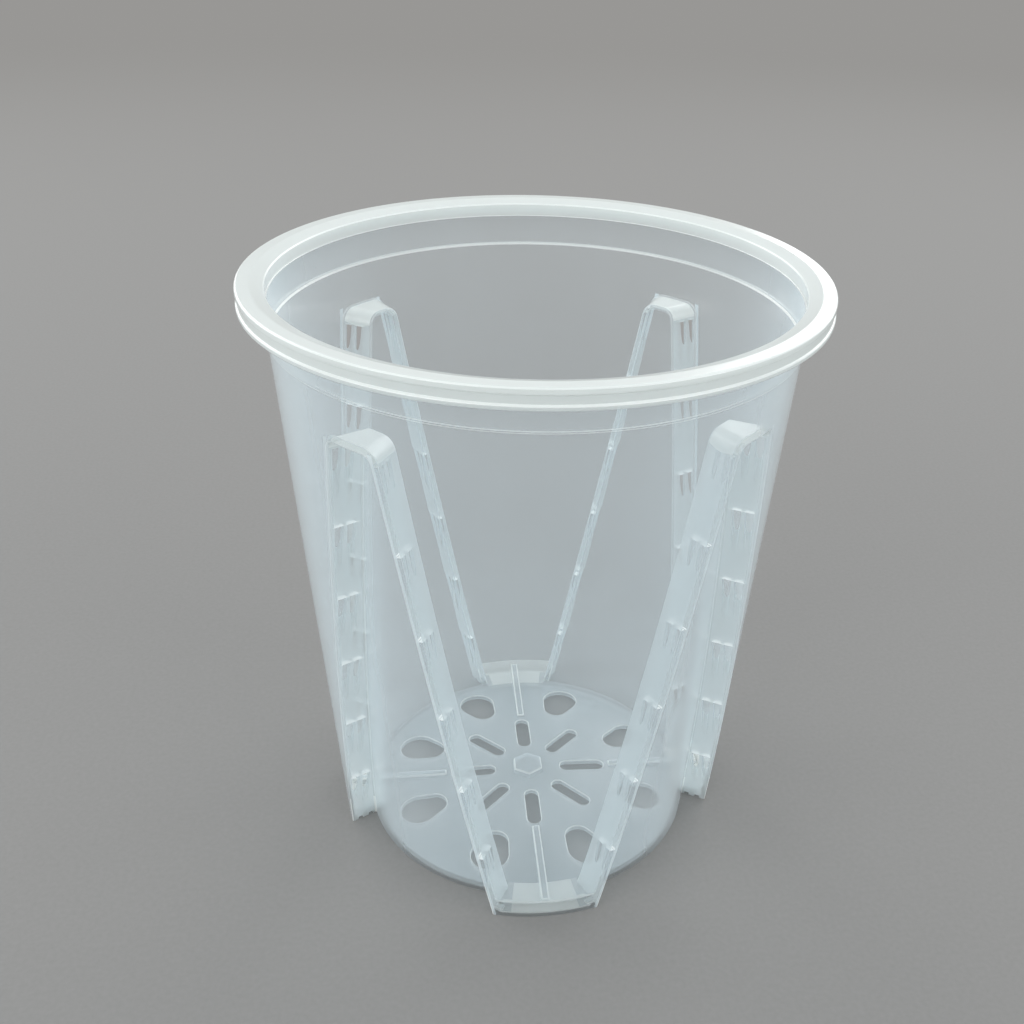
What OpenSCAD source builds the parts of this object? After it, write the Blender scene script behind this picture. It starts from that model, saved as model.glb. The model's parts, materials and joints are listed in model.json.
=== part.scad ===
// Orchid pot with slots: a clear tapered pot on four toes. Between the toes the wall is pressed inward
// in four A-shaped recesses, whose leaning side walls carry rows of ventilation slots.
// Origin at the centre of the ground that the pot stands on, Z up, front toe towards -Y, millimetres.

/* [Overall size] */
// Outside diameter of the rim
rim_d = 120; // [112:1:140]
// Height from the ground to the top of the rim
pot_h = 131.5; // [110:0.5:170]
// Outside diameter over the toes, at the ground
foot_d = 87.8; // [82:0.2:94]
// Outside diameter of the tapered wall at the stacking step
step_d = 109.1; // [106:0.1:110]
// Height of the stacking step below the rim's top
step_drop = 10.6; // [9:0.2:16]
// Thickness of every wall
wall_t = 0.9; // [0.7:0.05:1.2]

/* [Rim] */
// Width of the flat ring on top of the flange
lip_flat_w = 2.9; // [2:0.1:3.6]
// Depth of the sloping ledge inside the flat ring
lip_ledge_drop = 0.9; // [0.4:0.1:1.3]
// Thickness of the flange
lip_t = 1.3; // [1:0.1:1.8]
// Rounding of the flange's outer edge
lip_round = 0.5; // [0.2:0.1:0.8]
// Height of the ring inside the mouth, below the ledge
lip_ring_h = 2.8; // [2:0.1:3.6]
// Width of the gap between the wall and the skirt
skirt_gap = 3.5; // [3:0.1:4.2]
// Height of the skirt's lower edge below the rim's top
skirt_drop = 4.2; // [3.6:0.1:6]
// How far the skirt's face lies inside the flange and its bead
skirt_inset = 0.4; // [0.2:0.05:0.6]
// Height of the bead along the skirt's lower edge
skirt_bead_h = 0.8; // [0.5:0.1:1.2]
// How far the collar's outer face stands out over the wall below the stacking step
step_w = 0.35; // [0.2:0.05:0.5]

/* [Recesses] */
// Depth of a recess's roof below the stacking step
roof_drop = 9.2; // [6:0.2:20]
// Clear width of a recess just under its roof, at the outer wall
recess_top_w = 10.9; // [9:0.1:14]
// Depth of a recess at the ground
recess_foot_depth = 6; // [5.6:0.1:7]
// Depth of a recess at the height of the stacking step
recess_top_depth = 7.3; // [6.4:0.1:8.4]
// Lean of a side wall from upright, in degrees
side_lean = 10.2; // [9:0.1:11]
// Turn of a side wall's outer end away from the recess's middle line, in degrees
side_flare = 16; // [12:0.5:18]
// Radius of the rounded corners under a roof
roof_round = 2.2; // [1.4:0.1:3]

/* [Slots] */
// Rows of slots in a side wall
slot_rows = 6; // [3:1:6]
// Height of the lowest row's upper end
slot_first_z = 15.5; // [14:0.5:17]
// Distance from the roof down to the highest row's upper end
slot_head = 3.2; // [3:0.1:6]
// Distance from the outer wall's face to the first slot of a row
slot_edge = 2.1; // [1.9:0.05:2.2]
// Distance between the two slots of a row
slot_gap = 2.6; // [2.4:0.05:2.7]
// Width of a slot at its mouth
slot_mouth_w = 2; // [1.6:0.1:2.1]
// Width of a slot's round inner end
slot_nose_w = 1.2; // [0.8:0.1:1.4]
// How deep a slot is cut into the leaning wall
slot_depth = 1.9; // [1.6:0.1:2.2]
// Height of the drain notches in a side wall's lower edge
foot_notch_h = 0.8; // [0.4:0.1:1.2]

/* [Floor] */
// Thickness of the floor
floor_t = 1.2; // [0.9:0.1:1.6]
// Gap between the ground and the floor's flat border
floor_lift = 0.4; // [0.2:0.1:1.2]
// Radius of the domed middle of the floor
dome_r = 34; // [31:0.5:35]
// Rise of the dome
dome_rise = 1.6; // [1:0.1:2.6]
// Large drain holes in the floor
hole_count = 8; // [6:1:8]
// Distance of a drain hole's outer round from the axis
hole_outer_x = 29; // [28:0.2:29.6]
// Radius of a drain hole's outer round
hole_outer_r = 4.3; // [3.6:0.1:4.4]
// Distance of a drain hole's inner round from the axis
hole_inner_x = 25.2; // [24.6:0.2:26]
// Radius of a drain hole's inner round
hole_inner_r = 3; // [2.2:0.1:3.2]
// Distance of a radial slot's inner end from the axis
floor_slot_start = 8; // [7:0.2:9]
// Distance of a radial slot's outer end from the axis
floor_slot_end = 18.8; // [16:0.2:19]
// Width of a radial slot
floor_slot_w = 3.2; // [2.4:0.1:3.4]
// Width of the knob over its corners
knob_d = 8.2; // [7:0.1:9]
// Height of the knob
knob_h = 1.5; // [1:0.1:2.4]
// Width of the flat border round the knob
knob_seat = 0.5; // [0.2:0.1:1.5]
// Radius of the cove between a toe's floor and the outer wall
cove_r = 2.3; // [1.5:0.1:3]
// Distance of a rib's inner end from the axis
rib_start = 20; // [19.6:0.2:24]
// Width of a rib
rib_w = 1.8; // [1.2:0.1:2.4]
// Height of a rib over the floor's flat border
rib_h = 1.7; // [1.5:0.1:2.4]

/* [Hidden] */
$fn = 120;
TOES = ["front", "right", "back", "left"];
CORNERS = ["front_right", "back_right", "back_left", "front_left"];
ENDS = ["right", "left"];
natural_pp = [0.80, 0.87, 0.90, 0.6];
frosted_pp = [0.90, 0.94, 0.95, 0.8];
rim_r = rim_d / 2;
foot_r = foot_d / 2;
step_r = step_d / 2;
step_z = pot_h - step_drop;
roof_z = step_z - roof_drop;
slot_pitch = (roof_z - slot_head - slot_first_z) / max(1, slot_rows - 1);
mouth_z = pot_h - lip_ledge_drop;
ring_z = mouth_z - lip_ring_h;
flange_z = pot_h - lip_t;
skirt_r = rim_r - skirt_inset;
ring_r = skirt_r - wall_t - skirt_gap;
mouth_r = ring_r - wall_t;
collar_r = step_r + step_w;
quarter = 90;
far = rim_d;
floor_z = floor_lift + floor_t;
recess_in_z = roof_z - wall_t;
skin_shift = wall_t / cos(side_lean);
dome_ball_r = (dome_r * dome_r + dome_rise * dome_rise) / (2 * dome_rise);
knob_seat_r = knob_d / 2 + knob_seat;
dome_steps = 6;
arc_steps = 9;
rib_z = floor_z + rib_h;

// How far a cutter reaches past the wall that it cuts
cut_margin = 1;

// Widths of the knob's round cap at its foot and at its top, as shares of the knob's width
cap_foot = 0.8;
cap_top = 0.6;

// Radius of the outer wall's face at height z
function outer_r(z) = foot_r + (step_r - foot_r) * z / step_z;

// Radius of a recess wall's outer face at height z
function recess_r(z) =
    outer_r(z) - recess_foot_depth - (recess_top_depth - recess_foot_depth) * z / step_z;

// Height of the dome over the floor's flat border, at the distance x from the axis
function dome_lift(x) = sqrt(dome_ball_r * dome_ball_r - x * x) - dome_ball_r + dome_rise;
knob_z = floor_z + dome_lift(knob_seat_r);

// Offset of a side wall's recess face from the turned middle line, at height z
roof_edge = recess_top_w / 2 * cos(side_flare) - outer_r(recess_in_z) * sin(side_flare);
function side_w(z) = roof_edge + tan(side_lean) * (recess_in_z - z);

// Distance along a side wall at which it crosses the radius r, at height z
function side_s(r, z) = sqrt(r * r - side_w(z) * side_w(z));

// Upper limit of the plain part of a side wall, where the rounding under the roof begins
roof_split_z = roof_z - wall_t - roof_round * (1 - sin(side_lean) / 2);

// Points of an arc round a centre, from one angle to another
function arc(centre, r, from, to) = [
    for (k = [0:arc_steps])
        let (angle = from + (to - from) * k / arc_steps)
            centre + r * [cos(angle), sin(angle)]
];

// Ring between two radii that change from z0 to z1, as its half section
module tapered_ring(inner0, outer0, z0, inner1, outer1, z1) {
    rotate_extrude()
        polygon([[inner0, z0], [outer0, z0], [outer1, z1], [inner1, z1]]);
}

// Tapered outer wall between two heights, grown inward by its thickness
module outer_shell(z0, z1) {
    tapered_ring(outer_r(z0) - wall_t, outer_r(z0), z0, outer_r(z1) - wall_t, outer_r(z1), z1);
}

// Ring between the recess wall's outer face and the outer wall's face
module recess_ring(z0, z1) {
    tapered_ring(recess_r(z0), outer_r(z0), z0, recess_r(z1), outer_r(z1), z1);
}

// Lays a section drawn as offset and height along a side wall's direction
module along_side() {
    rotate([0, 0, side_flare])
        rotate([90, 0, 90])
            linear_extrude(far)
                children();
}

// Half of the tent-shaped space of a recess, grown outward by grow
module tent_half(grow) {
    top = recess_in_z + grow;
    round_r = roof_round + grow;
    round_z = top - round_r;
    shift = grow / cos(side_lean);
    round_w = side_w(round_z) + shift - round_r / cos(side_lean);
    low = -wall_t;
    along_side()
        polygon(concat(
            [[-far, low], [side_w(low) + shift, low]],
            arc([round_w, round_z], round_r, side_lean, 90),
            [[-far, top]]
        ));
}

// Tent-shaped space of a recess, or with grow the space inside the faces that the pot's inside shows
module tent(grow = 0) {
    intersection() {
        tent_half(grow);
        mirror([0, 1, 0])
            tent_half(grow);
    }
}

// Quarter of the pot round the direction of +X
module quarter_wedge() {
    linear_extrude(far * 4, center = true)
        polygon([[0, 0], [far, -far], [far, far]]);
}

// Turns what is drawn towards +X to the toe of that number
module at_toe(i) {
    rotate([0, 0, (i - 1) * quarter])
        children();
}

// Turns what is drawn towards +X to the corner of that number
module at_corner(i) {
    rotate([0, 0, (i - 0.5) * quarter])
        children();
}

// The two tents beside a toe that points to +X
module tents_beside_toe(grow) {
    for (side = [-1, 1])
        rotate([0, 0, side * quarter / 2])
            tent(grow);
}

module rim_lip() {
    color(frosted_pp)
        rotate_extrude()
            polygon([
                [mouth_r, ring_z],
                [ring_r, ring_z],
                [ring_r, flange_z],
                [rim_r, flange_z],
                [rim_r, pot_h - lip_round],
                [rim_r - lip_round / 4, pot_h - lip_round / 4],
                [rim_r - lip_round, pot_h],
                [rim_r - lip_flat_w, pot_h],
                [mouth_r, mouth_z]
            ]);
}

module rim_skirt() {
    low = pot_h - skirt_drop;
    inner = skirt_r - wall_t;
    bead = skirt_inset / 2;
    color(frosted_pp)
        rotate_extrude()
            polygon([
                [inner, flange_z],
                [inner, low + bead],
                [inner + bead, low],
                [rim_r - bead, low],
                [rim_r, low + bead],
                [rim_r, low + skirt_bead_h - bead],
                [skirt_r, low + skirt_bead_h],
                [skirt_r, flange_z]
            ]);
}

module rim_collar() {
    color(natural_pp)
        tapered_ring(collar_r - wall_t, collar_r, step_z, ring_r - wall_t, ring_r, ring_z);
}

module upper_wall() {
    color(natural_pp)
        difference() {
            outer_shell(roof_split_z, step_z);
            for (i = [0:3])
                at_corner(i)
                    tent(wall_t);
        }
}

module wall_panel(i) {
    color(natural_pp)
        at_toe(i)
            difference() {
                intersection() {
                    outer_shell(0, roof_split_z);
                    quarter_wedge();
                }
                tents_beside_toe(wall_t);
            }
}

module recess_wall(i) {
    color(natural_pp)
        at_corner(i)
            intersection() {
                tapered_ring(recess_r(0) - wall_t, recess_r(0), 0,
                    recess_r(roof_z) - wall_t, recess_r(roof_z), roof_z);
                tent(wall_t);
            }
}

module recess_roof(i) {
    color(frosted_pp)
        at_corner(i)
            intersection() {
                recess_ring(roof_split_z, roof_z);
                difference() {
                    tent(wall_t);
                    tent();
                }
            }
}

// One slot of a side wall: a groove that runs straight down and out through the leaning wall,
// so that it breaks through at its upper end and fades into the wall's face lower down
module slot_cut(z, column) {
    run = slot_depth / tan(side_lean);
    start = side_s(outer_r(z), z) - slot_edge - column * slot_gap;
    translate([start, side_w(z), z - run])
        linear_extrude(run) {
            polygon([
                [-slot_mouth_w / 2, 0],
                [-slot_mouth_w / 2, -slot_depth],
                [slot_mouth_w / 2, -slot_depth],
                [slot_mouth_w / 2, 0],
                [slot_nose_w / 2, slot_depth - slot_nose_w / 2],
                [-slot_nose_w / 2, slot_depth - slot_nose_w / 2]
            ]);
            translate([0, slot_depth - slot_nose_w / 2])
                circle(d = slot_nose_w);
        }
}

// Small drain notch in a side wall's lower edge, in line with a column of slots
module foot_notch(column) {
    start = side_s(outer_r(0), 0) - slot_edge - column * slot_gap;
    translate([start - slot_nose_w / 2, side_w(0) - cut_margin, -cut_margin])
        cube([slot_nose_w, skin_shift + 2 * cut_margin, foot_notch_h + cut_margin]);
}

// Leaning side wall of the recess round +X, on its +Y side
module side_wall() {
    difference() {
        intersection() {
            along_side()
                polygon([
                    [side_w(0), 0],
                    [side_w(0) + skin_shift, 0],
                    [side_w(roof_split_z) + skin_shift, roof_split_z],
                    [side_w(roof_split_z), roof_split_z]
                ]);
            recess_ring(0, roof_split_z);
        }
        rotate([0, 0, side_flare])
            for (column = [0, 1]) {
                foot_notch(column);
                for (row = [0:slot_rows - 1])
                    slot_cut(slot_first_z + row * slot_pitch, column);
            }
    }
}

// The end counts from 0, right of the toe seen from outside, to 1, left of it
module slotted_wall(i, end) {
    color(frosted_pp)
        at_toe(i)
            mirror([0, end, 0])
                rotate([0, 0, quarter / 2])
                    mirror([0, 1, 0])
                        side_wall();
}

// Half outline of the dome over the height base, from its border to its flat middle
function dome_line(base) = [
    for (k = [dome_steps:-1:0])
        let (x = knob_seat_r + (dome_r - knob_seat_r) * k / dome_steps)
            [x, base + dome_lift(x)]
];

// Solid of all that lies between the floor's upper face and its flat border's lower face
module floor_body() {
    rotate_extrude()
        polygon(concat(
            [[0, floor_lift], [recess_r(floor_lift) - wall_t, floor_lift]],
            [[recess_r(floor_z) - wall_t, floor_z]],
            dome_line(floor_z),
            [[0, knob_z]]
        ));
}

// Hollow under the dome
module dome_hollow() {
    rotate_extrude()
        polygon(concat([[0, floor_lift]], dome_line(floor_lift), [[0, knob_z - floor_t]]));
}

// Egg-shaped drain hole towards +X
module drain_hole() {
    tilt = asin((hole_outer_r - hole_inner_r) / (hole_outer_x - hole_inner_x));
    height = floor_z + dome_rise + 2 * cut_margin;
    translate([0, 0, -cut_margin])
        linear_extrude(height) {
            translate([hole_outer_x, 0])
                circle(hole_outer_r);
            translate([hole_inner_x, 0])
                circle(hole_inner_r);
            polygon([
                for (side = [-1, 1])
                    [hole_inner_x - hole_inner_r * sin(tilt), side * hole_inner_r * cos(tilt)],
                for (side = [1, -1])
                    [hole_outer_x - hole_outer_r * sin(tilt), side * hole_outer_r * cos(tilt)]
            ]);
        }
}

// Radial slot through the floor towards +X
module floor_slot() {
    end_r = floor_slot_w / 2;
    height = floor_z + dome_rise + 2 * cut_margin;
    translate([0, 0, -cut_margin])
        linear_extrude(height) {
            for (x = [floor_slot_start + end_r, floor_slot_end - end_r])
                translate([x, 0])
                    circle(end_r);
            translate([floor_slot_start + end_r, -end_r])
                square([floor_slot_end - floor_slot_start - floor_slot_w, floor_slot_w]);
        }
}

module floor_disc() {
    color(natural_pp)
        difference() {
            floor_body();
            dome_hollow();
            for (k = [0:hole_count - 1]) {
                rotate([0, 0, (k + 0.5) * 360 / hole_count])
                    drain_hole();
                rotate([0, 0, k * 360 / hole_count])
                    floor_slot();
            }
        }
}

module floor_knob() {
    cap_h = knob_h / 3;
    color(frosted_pp)
        translate([0, 0, knob_z]) {
            cylinder(h = knob_h - cap_h, d = knob_d, $fn = 6);
            translate([0, 0, knob_h - cap_h])
                cylinder(h = cap_h, d1 = knob_d * cap_foot, d2 = knob_d * cap_top);
        }
}

// Half section of a toe's floor, with the cove that runs up the outer wall
module toe_floor_section() {
    wall_r = outer_r(floor_z) - wall_t;
    cove_z = floor_z + cove_r;
    polygon([
        [recess_r(floor_lift) - wall_t, floor_lift],
        [outer_r(floor_lift) - wall_t, floor_lift],
        [wall_r, floor_z],
        [recess_r(floor_z) - wall_t, floor_z]
    ]);
    difference() {
        polygon([[wall_r - cove_r, floor_z], [wall_r, floor_z], [outer_r(cove_z) - wall_t, cove_z]]);
        translate([wall_r - cove_r, cove_z])
            circle(cove_r);
    }
}

// Floor of the toe that points to +X
module toe_floor_solid() {
    difference() {
        intersection() {
            rotate_extrude()
                toe_floor_section();
            quarter_wedge();
        }
        tents_beside_toe(wall_t);
    }
}

module toe_floor(i) {
    color(natural_pp)
        at_toe(i)
            toe_floor_solid();
}

module floor_rib(i) {
    end_x = outer_r(rib_z) - wall_t - cove_r / 2;
    color(frosted_pp)
        at_toe(i)
            difference() {
                translate([rib_start, -rib_w / 2, floor_lift])
                    cube([end_x - rib_start, rib_w, rib_z - floor_lift]);
                floor_body();
                rotate_extrude()
                    toe_floor_section();
            }
}

rim_lip();
rim_skirt();
rim_collar();
upper_wall();
for (i = [0:3]) {
    wall_panel(i);
    recess_wall(i);
    recess_roof(i);
    slotted_wall(i, 0);
    slotted_wall(i, 1);
    toe_floor(i);
    floor_rib(i);
}
floor_disc();
floor_knob();
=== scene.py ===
# %% [markdown]
# # A clear orchid pot with slots
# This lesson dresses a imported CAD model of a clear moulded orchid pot. The real pot is one thin moulding:
# a tapered cup on four toes, whose wall is pressed inward between the toes in tall A-shaped recesses.
# Their leaning side walls carry rows of slots for air, and the domed floor has large drain holes.
# The CAD model names each wall of that moulding by itself, which suits an assembly. A clear material would
# show every face where two such walls meet, so here the same walls are made again as one closed skin.
# That skin replaces all the CAD nodes in the picture, and it keeps to the same sizes.
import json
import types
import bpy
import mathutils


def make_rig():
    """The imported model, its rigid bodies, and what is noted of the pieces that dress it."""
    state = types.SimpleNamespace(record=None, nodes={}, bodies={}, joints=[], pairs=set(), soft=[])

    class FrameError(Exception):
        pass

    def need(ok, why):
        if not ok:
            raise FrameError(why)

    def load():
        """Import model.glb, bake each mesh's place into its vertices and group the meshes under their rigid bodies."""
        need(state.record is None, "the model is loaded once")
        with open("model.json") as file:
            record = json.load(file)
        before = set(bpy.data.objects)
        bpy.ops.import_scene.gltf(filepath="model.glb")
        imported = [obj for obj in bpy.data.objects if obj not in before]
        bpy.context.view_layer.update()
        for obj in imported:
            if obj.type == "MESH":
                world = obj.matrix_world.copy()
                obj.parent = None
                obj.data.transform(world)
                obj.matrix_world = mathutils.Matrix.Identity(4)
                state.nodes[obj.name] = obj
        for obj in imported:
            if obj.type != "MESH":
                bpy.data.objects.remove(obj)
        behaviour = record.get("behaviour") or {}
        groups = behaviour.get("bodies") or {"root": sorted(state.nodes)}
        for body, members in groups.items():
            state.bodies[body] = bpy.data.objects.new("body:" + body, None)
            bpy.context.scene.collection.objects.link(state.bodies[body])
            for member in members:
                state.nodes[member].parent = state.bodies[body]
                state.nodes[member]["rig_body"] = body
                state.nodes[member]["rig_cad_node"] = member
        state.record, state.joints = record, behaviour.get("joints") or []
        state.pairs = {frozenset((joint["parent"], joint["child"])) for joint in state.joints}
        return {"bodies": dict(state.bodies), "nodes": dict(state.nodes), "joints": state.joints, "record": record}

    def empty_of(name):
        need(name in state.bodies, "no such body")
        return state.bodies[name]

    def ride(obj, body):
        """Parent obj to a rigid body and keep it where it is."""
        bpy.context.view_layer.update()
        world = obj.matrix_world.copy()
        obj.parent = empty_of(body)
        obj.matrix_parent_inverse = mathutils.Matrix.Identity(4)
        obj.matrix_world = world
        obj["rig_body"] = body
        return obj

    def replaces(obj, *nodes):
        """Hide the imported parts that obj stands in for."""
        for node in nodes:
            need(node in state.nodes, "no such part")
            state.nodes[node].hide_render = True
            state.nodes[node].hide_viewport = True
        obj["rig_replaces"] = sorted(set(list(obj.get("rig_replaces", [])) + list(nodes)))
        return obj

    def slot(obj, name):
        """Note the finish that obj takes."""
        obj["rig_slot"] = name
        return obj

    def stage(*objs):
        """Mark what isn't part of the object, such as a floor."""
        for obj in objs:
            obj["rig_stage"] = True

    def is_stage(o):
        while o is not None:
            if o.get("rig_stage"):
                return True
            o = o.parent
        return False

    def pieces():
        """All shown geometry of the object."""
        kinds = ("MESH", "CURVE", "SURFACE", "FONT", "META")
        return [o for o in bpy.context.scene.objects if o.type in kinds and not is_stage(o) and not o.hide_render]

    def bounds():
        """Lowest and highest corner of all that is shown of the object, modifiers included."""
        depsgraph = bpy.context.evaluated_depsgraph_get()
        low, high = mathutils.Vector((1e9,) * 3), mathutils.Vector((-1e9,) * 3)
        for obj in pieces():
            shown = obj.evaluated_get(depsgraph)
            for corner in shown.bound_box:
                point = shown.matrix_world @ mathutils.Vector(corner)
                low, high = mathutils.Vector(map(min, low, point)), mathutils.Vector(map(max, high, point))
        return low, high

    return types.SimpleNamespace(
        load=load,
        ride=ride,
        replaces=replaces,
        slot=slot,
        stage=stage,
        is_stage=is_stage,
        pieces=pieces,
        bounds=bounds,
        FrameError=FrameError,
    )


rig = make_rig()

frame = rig.load()

import json
import math

import bmesh
import bpy
from mathutils import Matrix, Vector

cad_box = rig.bounds()
print("CAD nodes:", len(frame["nodes"]), "box:", [[round(v, 4) for v in corner] for corner in cad_box])

# %% [markdown]
# ## Sizes
# Everything is worked out in millimetres, as on a mould drawing, and scaled to metres when a mesh is
# finished. The sizes are those of the CAD model, so that each form lands where the solids are.

# %% Sizes of the pot, in millimetres
MM = 0.001
QUARTER = math.pi / 2
POT_H = 131.5
RIM_R = 60.0
STEP_Z = 120.9
STEP_R = 54.55
FOOT_R = 43.9
WALL_T = 0.9
RECESS_FOOT_DEPTH = 6.0
RECESS_GAIN = 1.3
RECESS_TOP_W = 10.9
ROOF_Z = STEP_Z - 9.2
ROOF_IN_Z = ROOF_Z - WALL_T
LEAN = math.radians(10.2)
FLARE = math.radians(16)
FLOOR_LIFT = 0.4
FLOOR_T = 1.2
FLOOR_Z = FLOOR_LIFT + FLOOR_T
BELOW = -6.0


def outer_r(z):
    """Radius of the outer wall's face at height z."""
    return FOOT_R + (STEP_R - FOOT_R) * z / STEP_Z


def recess_r(z):
    """Radius of a recess wall's outer face at height z."""
    return outer_r(z) - RECESS_FOOT_DEPTH - RECESS_GAIN * z / STEP_Z


def side_w(z):
    """Distance of a side wall's recess face from the pot's axis, measured square to it, at height z."""
    at_roof = RECESS_TOP_W / 2 * math.cos(FLARE) - outer_r(ROOF_IN_Z) * math.sin(FLARE)
    return at_roof + math.tan(LEAN) * (ROOF_IN_Z - z)


print("wall radius at the ground, middle and step:", [round(outer_r(z), 2) for z in (0, 60, STEP_Z)])

# %% [markdown]
# ## Helpers that shape solids
# A moulded round form is a section spun round an axis. Corners get their rounding while they are still
# points of the section, where a vertex bevel is exact and cheap. Forms that meet at odd angles, such as
# the recesses and the round wall, are made as overlapping solids and joined or cut with the Boolean
# modifier, because their seam curves follow from the two forms and would be hard to draw.

# %% Outlines as faces
ROUNDING_STEPS = 4


def outline(bm, points, plane="xz"):
    """A closed outline as one face; a point's third number rounds it off by that much."""
    rounds = {}
    verts = []
    for point in points:
        a, b = point[:2]
        vert = bm.verts.new((a, 0, b) if plane == "xz" else (a, b, 0))
        verts.append(vert)
        if len(point) > 2:
            rounds.setdefault(point[2], []).append(vert)
    bm.faces.new(verts)
    for size, corner in rounds.items():
        bmesh.ops.bevel(bm, geom=corner, offset=size, segments=ROUNDING_STEPS, profile=0.5,
                        affect="VERTICES", material=-1, clamp_overlap=True)


def as_object(bm, name):
    """Turns a finished bmesh into an object."""
    mesh = bpy.data.meshes.new(name)
    bm.to_mesh(mesh)
    bm.free()
    piece = bpy.data.objects.new(name, mesh)
    bpy.context.scene.collection.objects.link(piece)
    return piece


# %% Spun forms, prisms and copies
LATHE_STEPS = 144
SAME_POINT = 0.0001


def lathe(name, points, steps=LATHE_STEPS):
    """A solid spun from its half section round the pot's axis."""
    bm = bmesh.new()
    outline(bm, points)
    bmesh.ops.delete(bm, geom=bm.faces[:], context="FACES_ONLY")
    on_axis = [e for e in bm.edges if all(abs(v.co.x) < SAME_POINT for v in e.verts)]
    bmesh.ops.delete(bm, geom=on_axis, context="EDGES")
    bmesh.ops.spin(bm, geom=bm.verts[:] + bm.edges[:], cent=(0, 0, 0), axis=(0, 0, 1),
                   angle=2 * math.pi, steps=steps, use_merge=True)
    bmesh.ops.remove_doubles(bm, verts=bm.verts[:], dist=SAME_POINT)
    bmesh.ops.recalc_face_normals(bm, faces=bm.faces[:])
    return as_object(bm, name)


def push_up(bm, height):
    """Extrudes the flat faces of a bmesh straight up into closed prisms."""
    grown = bmesh.ops.extrude_face_region(bm, geom=bm.faces[:])
    moved = [g for g in grown["geom"] if isinstance(g, bmesh.types.BMVert)]
    bmesh.ops.translate(bm, verts=moved, vec=(0, 0, height))
    bmesh.ops.recalc_face_normals(bm, faces=bm.faces[:])


def copies_round(bm, count):
    """Repeats all that a bmesh holds evenly round the pot's axis."""
    bmesh.ops.spin(bm, geom=bm.verts[:] + bm.edges[:] + bm.faces[:], cent=(0, 0, 0), axis=(0, 0, 1),
                   angle=2 * math.pi * (count - 1) / count, steps=count - 1, use_duplicate=True)


# %% [markdown]
# ## Cuts, joins and soft corners
# The Boolean modifier's manifold solver is quick and keeps a closed skin closed, as long as what goes in
# is closed too. A bevel on such a cut form folds over itself where it meets tiny edges, so the helper
# first merges points and flat faces that the cut left behind. It marks the rounded faces for later.

# %% Cuts, joins and soft corners
TINY = 0.004
FLAT = math.radians(0.05)
CORNER = math.radians(32)


def combine(body, tool, operation):
    """Joins or cuts body by tool with the Boolean modifier, and removes tool."""
    cut = body.modifiers.new("combine", "BOOLEAN")
    cut.operation = operation
    cut.solver = "MANIFOLD"
    cut.object = tool
    seen = body.evaluated_get(bpy.context.evaluated_depsgraph_get())
    done = bpy.data.meshes.new_from_object(seen)
    body.modifiers.clear()
    body.data = done
    bpy.data.objects.remove(tool)
    print(f"{operation.lower():>10}: {body.name} has {len(done.polygons)} faces")


def soften(piece, size, segments, chosen):
    """Rounds the chosen edges that are corners, and returns how many there were."""
    bm = bmesh.new()
    bm.from_mesh(piece.data)
    bmesh.ops.remove_doubles(bm, verts=bm.verts[:], dist=TINY)
    bmesh.ops.dissolve_degenerate(bm, edges=bm.edges[:], dist=TINY)
    bmesh.ops.dissolve_limit(bm, angle_limit=FLAT, verts=bm.verts[:], edges=bm.edges[:])
    rounded = bm.faces.layers.float.get("rounded") or bm.faces.layers.float.new("rounded")
    edges = [e for e in bm.edges
             if len(e.link_faces) == 2 and e.calc_face_angle(0) > CORNER and chosen(e)]
    made = bmesh.ops.bevel(bm, geom=edges, offset=size, segments=segments, profile=0.5,
                           affect="EDGES", material=-1, clamp_overlap=False)
    for face in made["faces"]:
        face[rounded] = 1.0
    bm.to_mesh(piece.data)
    bm.free()
    return len(edges)


# %% [markdown]
# ## The cup without its recesses
# The outside is spun from one section: the tapered wall, the stacking step, the collar above it, the
# flange, and the turned-down skirt that stiffens the rim. The section stops at the ledge inside the
# mouth. The hollow inside is a second spun solid, kept apart, because the recesses change both.

# %% Outside and inside of the cup
STEP_OUT = 0.35
SKIRT_R = RIM_R - 0.4
SKIRT_GAP = 3.5
RING_R = SKIRT_R - WALL_T - SKIRT_GAP
LIP_FLAT_W = 2.9
FLANGE_Z = POT_H - 1.3
LEDGE_Z = POT_H - 0.9
RING_Z = LEDGE_Z - 2.8
SKIRT_Z = POT_H - 4.2
BEAD_Z = SKIRT_Z + 0.9
outside = lathe("pot_outside", [
    (0, BELOW),
    (outer_r(BELOW), BELOW),
    (STEP_R, STEP_Z, 0.15),
    (STEP_R + STEP_OUT, STEP_Z, 0.15),
    (RING_R, FLANGE_Z - 0.3, 0.5),
    (SKIRT_R - WALL_T, FLANGE_Z, 0.4),
    (SKIRT_R - WALL_T, SKIRT_Z, 0.25),
    (RIM_R, SKIRT_Z, 0.3),
    (RIM_R, BEAD_Z, 0.25),
    (SKIRT_R, BEAD_Z + 0.2, 0.1),
    (SKIRT_R, FLANGE_Z - 0.1, 0.1),
    (RIM_R, FLANGE_Z, 0.15),
    (RIM_R, POT_H, 0.5),
    (RIM_R - LIP_FLAT_W, POT_H, 0.25),
    (RING_R - WALL_T, LEDGE_Z, 0.3),
    (RING_R - WALL_T, RING_Z, 0.1),
    (0, RING_Z),
])
hollow = lathe("pot_hollow", [
    (0, BELOW - 1),
    (outer_r(BELOW - 1) - WALL_T, BELOW - 1),
    (STEP_R - WALL_T, STEP_Z - 0.1, 0.15),
    (STEP_R + STEP_OUT - WALL_T, STEP_Z, 0.15),
    (RING_R - WALL_T - 0.25, RING_Z + 1),
    (0, RING_Z + 1),
])
print("faces of the outside and the hollow:", len(outside.data.polygons), len(hollow.data.polygons))

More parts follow.
